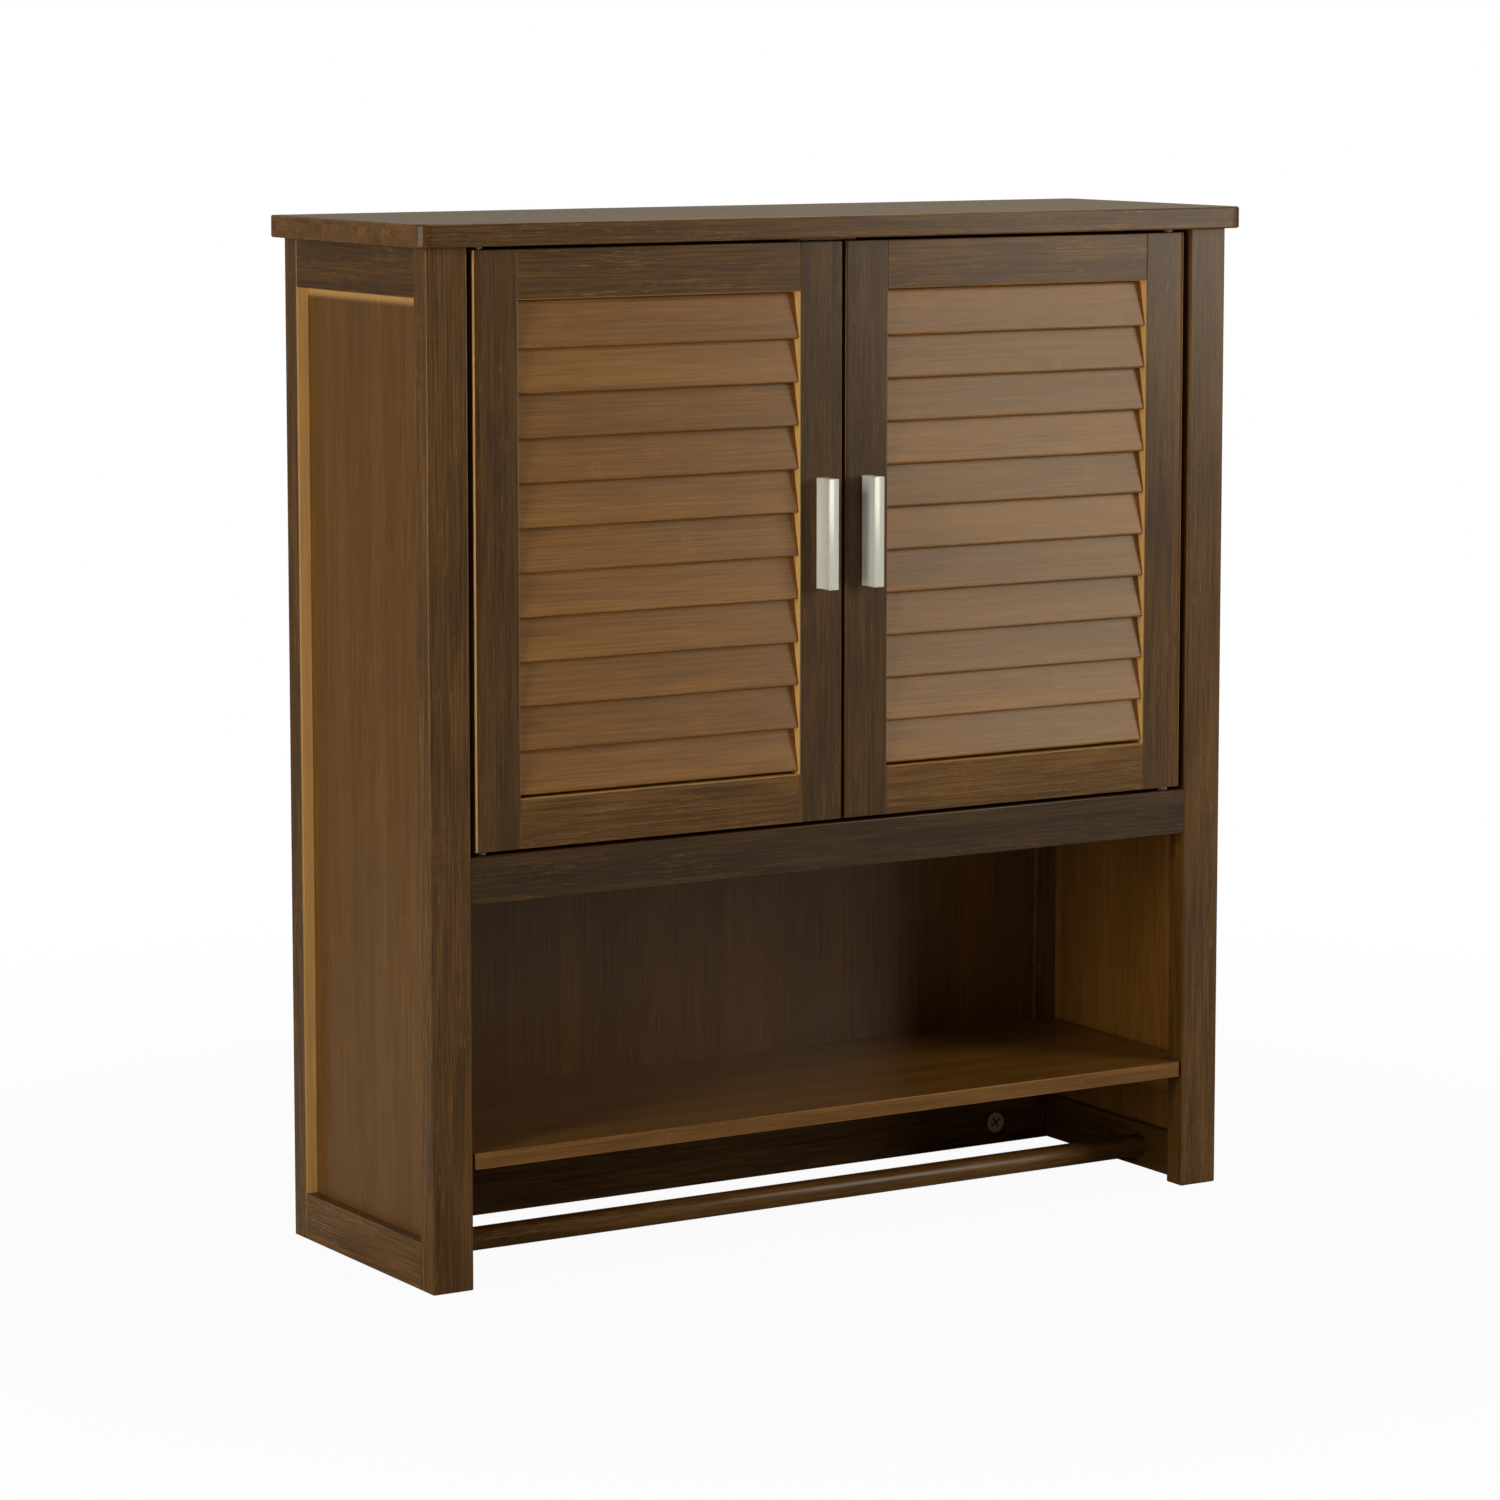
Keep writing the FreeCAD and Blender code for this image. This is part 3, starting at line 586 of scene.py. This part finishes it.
def build_shelf(node, material, front_tongue):
    """A shelf, cut round the posts at its corners."""
    low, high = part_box(node)
    rear_post_low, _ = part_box("left_rear_post")
    _, front_post_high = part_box("left_front_post")
    gap = 2 * MM
    tongue = front_post_high.x + gap
    rear = rear_post_low.y - 0.5 * MM
    corners = []
    if front_tongue:
        front = front_post_high.y + 0.5 * MM
        corners += [(tongue, low.y), (-tongue, low.y), (-tongue, front), (high.x, front)]
    else:
        corners += [(low.x, low.y), (high.x, low.y)]
    corners += [(high.x, rear), (-tongue, rear), (-tongue, high.y),
                (tongue, high.y), (tongue, rear), (low.x, rear)]
    if front_tongue:
        corners += [(low.x, front), (tongue, front)]
    outline = rounded(corners, [0.4 * MM] * len(corners), 2)
    mesh = prism(outline, "Z", low.z, high.z, 0.7 * MM)
    smooth_small_faces(mesh, 1.5 * MM)
    piece = finish_mesh(f"{node}_wood", mesh, material)
    lay_grain(piece, node, "X", "Y")
    settle(piece, node)


def build_battens(brown):
    """Two battens under each shelf, between the posts."""
    low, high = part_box("shelf_battens")
    batten_width, batten_height = 17 * MM, 14 * MM
    node = "shelf_battens"
    for shelf in ("cabinet_floor", "inner_shelf", "open_shelf"):
        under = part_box(shelf)[0].z
        for side in SIDES:
            start = low.x if side == "left" else high.x - batten_width
            box = (Vector((start, low.y, under - batten_height)),
                   Vector((start + batten_width, high.y, under)))
            piece = board("shelf_battens", brown, "Y", "Y", "Z", 0.8 * MM, 0.4 * MM, box=box,
                          name=f"{shelf}_{side}_batten")
            settle(piece, node, "carcass")
            node = None


def build_back(dark, brown):
    low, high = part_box("rear_top_rail")
    hole_pitch, hole_radius = 400 * MM, 3 * MM
    middle, clear = (low.z + high.z) / 2, 1 * MM
    holes = [prism(circle((x, middle), hole_radius, 32), "Y", low.y - clear, high.y + clear)
             for x in (-hole_pitch / 2, hole_pitch / 2)]
    for node, radius, cutters in (("rear_top_rail", 0.9 * MM, holes),
                                  ("rear_bottom_rail", 0.9 * MM, ()),
                                  ("apron_rail", 1.2 * MM, ())):
        settle(board(node, dark, "X", "X", "Z", radius, 0.35 * MM, holes=cutters), node)
    settle(board("back_panel", brown, "Y", "Z", "X", 0.2 * MM, 0.2 * MM), "back_panel")


def build_rod(dark):
    low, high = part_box("towel_rod")
    centre = ((low.y + high.y) / 2, (low.z + high.z) / 2)
    radius = (high.z - low.z) / 2 - 0.02 * MM
    mesh = prism(circle(centre, radius, 64), "X", low.x, high.x, 0.4 * MM)
    smooth_small_faces(mesh, 4 * MM)
    rod = finish_mesh("towel_rod_wood", mesh, dark)
    lay_grain(rod, "towel_rod", "X", "Z")
    settle(rod, "towel_rod")


def build_door_frame(side, dark):
    """Two stiles and the rails between them. The stiles' outer edges are rounded most."""
    hinge_radius, meeting_radius, inner_radius = 5 * MM, 1.6 * MM, 1.1 * MM
    to_meeting = 1 if side == "left" else -1
    inner_ends = []
    for name, outer_radius, inward in (("hinge_stile", hinge_radius, to_meeting),
                                       ("meeting_stile", meeting_radius, -to_meeting)):
        node = f"{side}_{name}"
        radii = [outer_radius, inner_radius, inner_radius, outer_radius]
        if inward < 0:
            radii = [inner_radius, outer_radius, outer_radius, inner_radius]
        # The hinge stiles get a painted highlight along their outer front arris.
        highlit_side = -inward if name == "hinge_stile" else 0
        # Faces towards the opening are painted pale: partly thin stain, partly painted light.
        pale_and_lit = facing("X", inward, highlit_side)
        settle(board(node, dark, "Z", "Z", "X", radii, 0.6 * MM, pale_and_lit=pale_and_lit), node)
        inner_ends.append(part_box(node)[1 if inward > 0 else 0].x)
    for place, inward in (("top", -1), ("bottom", 1)):
        node = f"{side}_door_{place}_rail"
        low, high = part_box(node)
        low.x, high.x = min(inner_ends), max(inner_ends)
        settle(board(node, dark, "X", "X", "Z", 0.8 * MM, 0.3 * MM, box=(low, high),
                     pale_and_lit=facing("Z", inward)), node)


def build_slats(side, brown):
    """Slats as long flat bars with eased edges, tilted about their lower front edge."""
    for number in range(1, SLAT_COUNT + 1):
        node = f"{side}_slat_{number:02d}"
        low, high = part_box(node)
        tall, deep = high.z - low.z, high.y - low.y
        spread = math.cos(2 * SLAT_TILT)
        width = (tall * math.cos(SLAT_TILT) - deep * math.sin(SLAT_TILT)) / spread
        thickness = (deep * math.cos(SLAT_TILT) - tall * math.sin(SLAT_TILT)) / spread
        radii = [1.1 * MM, 0.6 * MM, 0.6 * MM, 1.1 * MM]
        outline = rounded(rectangle((0, 0), (thickness, width)), radii, 4)
        mesh = prism(outline, "X", low.x, high.x, 0.3 * MM)
        smooth_small_faces(mesh, 1.2 * MM)
        piece = finish_mesh(f"{node}_wood", mesh, brown)
        lay_grain(piece, node, "X", "Z")
        foot = Vector((0, low.y, low.z + thickness * math.sin(SLAT_TILT)))
        piece.data.transform(Matrix.Translation(foot) @ Matrix.Rotation(-SLAT_TILT, 4, "X"))
        settle(piece, node)


# ---------------------------------------------------------------- metal and plastic

def hollow_side(start, end, sag, steps=10):
    """Points of a shallow bow between two outline points, to the left of the way by sag."""
    start, end = Vector(start), Vector(end)
    way = end - start
    left = Vector((-way.y, way.x)).normalized()
    points = []
    for i in range(steps):
        part = i / steps
        points.append(start.lerp(end, part) + left * sag * 4 * part * (1 - part))
    return points


def build_handle(side, metal):
    """An extruded pull with hollowed flanks and a faintly hollowed face."""
    node = f"{side}_handle"
    low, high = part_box(node)
    corners = rectangle((low.x, low.y), (high.x, high.y))
    sags = (0.6 * MM, 1.2 * MM, 0.0, 1.2 * MM)
    outline = []
    for index, sag in enumerate(sags):
        outline += hollow_side(corners[index], corners[(index + 1) % 4], sag)
    mesh = prism(outline, "Z", low.z, high.z, 0.25 * MM)
    for face in mesh.faces:
        face.smooth = len(face.verts) <= 4
    handle = finish_mesh(f"{node}_bar", mesh, metal)
    ridge = handle.modifiers.new("ridges", "BEVEL")
    ridge.width, ridge.segments = 0.35 * MM, 3
    ridge.limit_method, ridge.angle_limit = "ANGLE", math.radians(40)
    settle(handle, node)


def lathe(profile, steps=40):
    """A turned mesh about Z from (radius, height) points, closed on the axis at both ends."""
    mesh = bmesh.new()
    rings = []
    for radius, height in profile:
        if radius < 1e-9:
            rings.append([mesh.verts.new((0, 0, height))])
        else:
            rings.append([mesh.verts.new((*point, height)) for point in circle((0, 0), radius, steps)])
    for lower, upper in zip(rings, rings[1:]):
        for i in range(steps):
            j = (i + 1) % steps
            loop = [lower[i % len(lower)], lower[j % len(lower)],
                    upper[j % len(upper)], upper[i % len(upper)]]
            mesh.faces.new(list(dict.fromkeys(loop)))
    bmesh.ops.recalc_face_normals(mesh, faces=mesh.faces)
    for face in mesh.faces:
        face.smooth = True
    return mesh


def cross_cutter(length, width, top, depth):
    """A crossed recess as a cutter that reaches down from top."""
    half, arm = length / 2, width / 2
    outline = [(-half, -arm), (-arm, -arm), (-arm, -half), (arm, -half), (arm, -arm), (half, -arm),
               (half, arm), (arm, arm), (arm, half), (-arm, half), (-arm, arm), (-half, arm)]
    return prism([Vector(point) for point in outline], "Z", top - depth, top + depth)


def turned(name, profile, material, place, outward, recess, spin):
    """A turned fitting with a crossed recess, moved so that its axis points along outward.

    recess is the cross's length, its arms' width, the height that it is cut from and its depth.
    """
    piece = finish_mesh(name, lathe(profile), material)
    cut(piece, cross_cutter(*recess))
    way = Vector(outward).to_track_quat("Z", "Y").to_matrix().to_4x4()
    piece.data.transform(Matrix.Translation(place) @ way @ Matrix.Rotation(spin, 4, "Z"))
    crease = piece.modifiers.new("crease", "EDGE_SPLIT")
    crease.split_angle = math.radians(35)
    return piece


def build_handle_screws(side, plated):
    """Pan-head screws on the back of each meeting stile."""
    node = f"{side}_handle_screws"
    low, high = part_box(node)
    radius = (high.x - low.x) / 2
    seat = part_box(f"{side}_meeting_stile")[1].y
    rise = high.y - seat
    shank = 3 * MM
    profile = [(0, -shank), (radius * 0.5, -shank), (radius * 0.5, 0), (radius, 0),
               (radius, rise * 0.35), (radius * 0.86, rise * 0.8), (radius * 0.5, rise), (0, rise)]
    for number, level in enumerate((low.z + radius, high.z - radius), start=1):
        place = ((low.x + high.x) / 2, seat, level)
        piece = turned(f"{side}_handle_screw_{number}", profile, plated, place, (0, 1, 0),
                       (4.2 * MM, 0.9 * MM, rise, 1.4 * MM), 0.4 * number)
        settle(piece, node if number == 1 else None, f"{side}_door")


def build_cams(zinc):
    """Cam locks at the ends of the two rear rails and the apron."""
    radius, proud, inset, hanging_rise = 7.4 * MM, 0.45 * MM, 34.5 * MM, 15 * MM
    rim, dish, sunk = 1.5 * MM, 1.7 * MM, 0.25 * MM
    profile = [(0, -4 * MM), (radius, -4 * MM), (radius, proud * 0.3), (radius - 0.5 * MM, proud),
               (radius - rim, proud), (radius - dish, proud - sunk), (0, proud - sunk)]
    node = "cam_fittings"
    for rail, outward in (("rear_top_rail", -1), ("rear_bottom_rail", -1), ("apron_rail", 1)):
        low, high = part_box(rail)
        level = low.z + hanging_rise if rail == "rear_top_rail" else (low.z + high.z) / 2
        face = low.y if outward < 0 else high.y
        for side, x in (("left", low.x + inset), ("right", high.x - inset)):
            piece = turned(f"{rail}_{side}_cam", profile, zinc, (x, face, level), (0, outward, 0),
                           (9 * MM, 1.6 * MM, proud, 2 * MM), 0.55)
            settle(piece, node, "carcass")
            node = None


def plate(name, low, high, axis, radius, bevel, material):
    """A small plate or block with rounded corners."""
    flat = [i for i in range(3) if i != AXES[axis]]
    outline = rounded(rectangle([low[i] for i in flat], [high[i] for i in flat]), [radius] * 4, 5)
    mesh = prism(outline, axis, low[AXES[axis]], high[AXES[axis]], bevel)
    smooth_small_faces(mesh, 2 * MM)
    return finish_mesh(name, mesh, material)


def build_strike(side, plated):
    node = f"{side}_strike_plate"
    low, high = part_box(node)
    settle(plate(f"{node}_sheet", low, high, "Y", 1.5 * MM, 0.25 * MM, plated), node)
    middle = Vector(((low.x + high.x) / 2, high.y, (low.z + high.z) / 2))
    rise = 0.5 * MM
    profile = [(0, -1 * MM), (3 * MM, -0.3 * MM), (3 * MM, rise * 0.3),
               (2.2 * MM, rise * 0.8), (0, rise)]
    screw = turned(f"{side}_strike_screw", profile, plated, middle, (0, 1, 0),
                   (3.2 * MM, 0.7 * MM, rise, 0.9 * MM), 0.7)
    settle(screw, None, f"{side}_door")


def build_catch(white, plated, dark_magnet):
    """A moulded double catch: two magnets between steel pole plates, and two fixing screws."""
    low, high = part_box("magnetic_catch")
    body = plate("magnetic_catch_body", low, high, "Z", 1.5 * MM, 0.5 * MM, white)
    middle = (low.z + high.z) / 2
    pocket_half, pocket_depth, clear = (8 * MM, 3.4 * MM), 1.2 * MM, 1 * MM
    magnet_half, magnet_back = 7.8 * MM, low.y + 3 * MM
    centres = (-11.5 * MM, 11.5 * MM)
    for x in centres:
        pocket = rectangle((x - pocket_half[0], middle - pocket_half[1]),
                           (x + pocket_half[0], middle + pocket_half[1]))
        cut(body, prism(pocket, "Y", low.y - clear, low.y + pocket_depth))
    settle(body, "magnetic_catch")
    for side, x in zip(SIDES, centres):
        magnet = plate(f"catch_magnet_{side}", (x - magnet_half, low.y + 0.5 * MM, middle - 1.9 * MM),
                       (x + magnet_half, magnet_back, middle + 1.9 * MM), "Y", 0.3 * MM, 0.2 * MM,
                       dark_magnet)
        settle(magnet, None, "carcass")
        for name, level in (("lower", middle - 2.7 * MM), ("upper", middle + 2.7 * MM)):
            pole = plate(f"catch_pole_{side}_{name}",
                         (x - magnet_half, low.y + 0.1 * MM, level - 0.6 * MM),
                         (x + magnet_half, magnet_back, level + 0.6 * MM), "Y", 0.2 * MM, 0.15 * MM,
                         plated)
            settle(pole, None, "carcass")
    rise = 0.8 * MM
    profile = [(0, -1 * MM), (2.6 * MM, -0.2 * MM), (2.6 * MM, rise * 0.3),
               (1.8 * MM, rise * 0.9), (0, rise)]
    for side, x in zip(SIDES, (-18 * MM, 18 * MM)):
        place = (x, (low.y + high.y) / 2, low.z)
        screw = turned(f"catch_screw_{side}", profile, plated, place, (0, 0, -1),
                       (2.8 * MM, 0.6 * MM, rise, 0.8 * MM), 0.3)
        settle(screw, None, "carcass")


def finish_cad_nodes(materials):
    """Materials for the CAD nodes that stay in view as they are."""
    for node, material in materials.items():
        thing = frame["nodes"][node]
        thing.data.materials.clear()
        thing.data.materials.append(material)


# ---------------------------------------------------------------- stage

def build_camera():
    """A camera in front of the left half, turned to the right and a little down."""
    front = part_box("left_front_post")[0].y
    data = bpy.data.cameras.new("camera")
    data.lens, data.sensor_width, data.shift_y = CAMERA_LENS, CAMERA_SENSOR, CAMERA_SHIFT
    camera = bpy.data.objects.new("camera", data)
    camera.location = (CAMERA_SIDE, front - CAMERA_AWAY, CAMERA_HEIGHT)
    camera.rotation_euler = (math.pi / 2 - CAMERA_TILT, 0, -CAMERA_TURN)
    bpy.context.scene.collection.objects.link(camera)
    bpy.context.scene.camera = camera


def area_light(name, place, size, power):
    """A soft box that looks at the cabinet."""
    data = bpy.data.lights.new(name, "AREA")
    data.shape, data.size, data.size_y = "RECTANGLE", size[0], size[1]
    data.energy, data.color = power, LIGHT_COLOUR
    light = bpy.data.objects.new(name, data)
    light.location = place
    light.rotation_euler = (Vector(LIGHT_TARGET) - Vector(place)).to_track_quat("-Z", "Y").to_euler()
    bpy.context.scene.collection.objects.link(light)


def build_lights():
    for name, (place, size, power) in LIGHTS.items():
        area_light(name, place, size, power)


def build_world():
    """A white surround for the camera, and a lit backdrop in a dark studio for the light.

    For light and reflections it is bright behind the cabinet and dim in front.
    """
    world = bpy.data.worlds.new("studio")
    bpy.context.scene.world = world
    world.use_nodes = True
    tree = world.node_tree
    tree.nodes.clear()

    def add(kind, **settings):
        node = tree.nodes.new(f"ShaderNode{kind}")
        for key, value in settings.items():
            setattr(node, key, value)
        return node

    place = add("TexCoord")
    axes = add("SeparateXYZ")
    fade = add("MapRange", interpolation_type="SMOOTHSTEP")
    path = add("LightPath")
    mix = add("MixShader")
    output = add("OutputWorld")
    tree.links.new(place.outputs["Generated"], axes.inputs[0])
    tree.links.new(axes.outputs["Y"], fade.inputs["Value"])
    limits = {"From Min": -0.3, "From Max": 0.4, "To Min": WORLD_FRONT, "To Max": WORLD_BACK}
    for socket, value in limits.items():
        fade.inputs[socket].default_value = value
    tree.links.new(path.outputs["Is Camera Ray"], mix.inputs[0])
    studio, white = add("Background"), add("Background")
    tree.links.new(fade.outputs["Result"], studio.inputs["Strength"])
    tree.links.new(studio.outputs[0], mix.inputs[1])
    tree.links.new(white.outputs[0], mix.inputs[2])
    studio.inputs["Color"].default_value = (*LIGHT_COLOUR, 1)
    white.inputs["Color"].default_value = (1, 1, 1, 1)
    tree.links.new(mix.outputs[0], output.inputs[0])


def build_floor():
    """A wide pale floor that shows a faint shadow and melts into the white surround."""
    graph = Graph("pale_floor")
    x, y, _ = graph.split(graph.add("TexCoord").outputs["Object"])
    reach = graph.math("SQRT", graph.math("MULTIPLY_ADD", x, x, graph.math("MULTIPLY", y, y)))
    camera_ray = graph.add("LightPath").outputs["Is Camera Ray"]
    melt = graph.math("MULTIPLY", graph.fade(reach, MELT_START, MELT_END, FLOOR_GLOW, 1.0), camera_ray)
    graph.shade(Base_Color=(0.6, 0.6, 0.58, 1), Roughness=0.9, Specular_IOR_Level=0.1)
    glow = graph.add("Emission", {"Color": (1, 1, 1, 1), "Strength": 1.0})
    mix = graph.add("MixShader", {0: melt, 1: graph.shader.outputs[0], 2: glow.outputs[0]})
    graph.tree.links.new(mix.outputs[0], graph.output.inputs["Surface"])
    mesh = bmesh.new()
    bmesh.ops.create_circle(mesh, cap_ends=True, segments=96, radius=FLOOR_RADIUS)
    floor = finish_mesh("floor", mesh, graph.material)
    floor.location.z = cad_bounds[0].z


def main():
    dark = bamboo("dark_bamboo", DARK_STAIN, DARK_PALE_AND_LIT,
                  strip_contrast=0.06, dash_strength=0.5, mottle=0.34, coat=0.28)
    brown_look = {"strip_contrast": 0.10, "dash_strength": 0.08, "mottle": 0.20, "coat": 0.3}
    brown = bamboo("brown_bamboo", BROWN_STAIN, BROWN_PALE_AND_LIT, **brown_look)
    # The side panels' material also paints a paler band along their visible top.
    panel = bamboo("brown_bamboo_panel", BROWN_STAIN, BROWN_PALE_AND_LIT, panel_top_band=0.8, **brown_look)
    metal = aluminium()
    # The zinc's pale colour and low metallic value are partly painted light: they make the cams read
    # bright although they stand in shade.
    zinc = steel("zinc", (0.92, 0.89, 0.78), roughness=0.42, metallic=0.2)
    plated = steel("plated_steel", (0.66, 0.66, 0.66), roughness=0.25, metallic=1.0)
    white = nylon()

    build_camera()
    build_world()
    build_lights()
    build_floor()

    build_top(dark)
    for side in SIDES:
        build_side_frame(side, dark, panel)
        build_door_frame(side, dark)
        build_slats(side, brown)
        build_handle(side, metal)
        build_handle_screws(side, plated)
        build_strike(side, plated)
    build_shelf("cabinet_floor", brown, False)
    build_shelf("inner_shelf", brown, False)
    build_shelf("open_shelf", brown, True)
    build_battens(brown)
    build_back(dark, brown)
    build_rod(dark)
    build_cams(zinc)
    build_catch(white, plated, ferrite())
    finish_cad_nodes({"pivot_pins": plated, "pivot_bushes": white})
    bpy.context.scene.view_settings.view_transform = "Standard"


main()
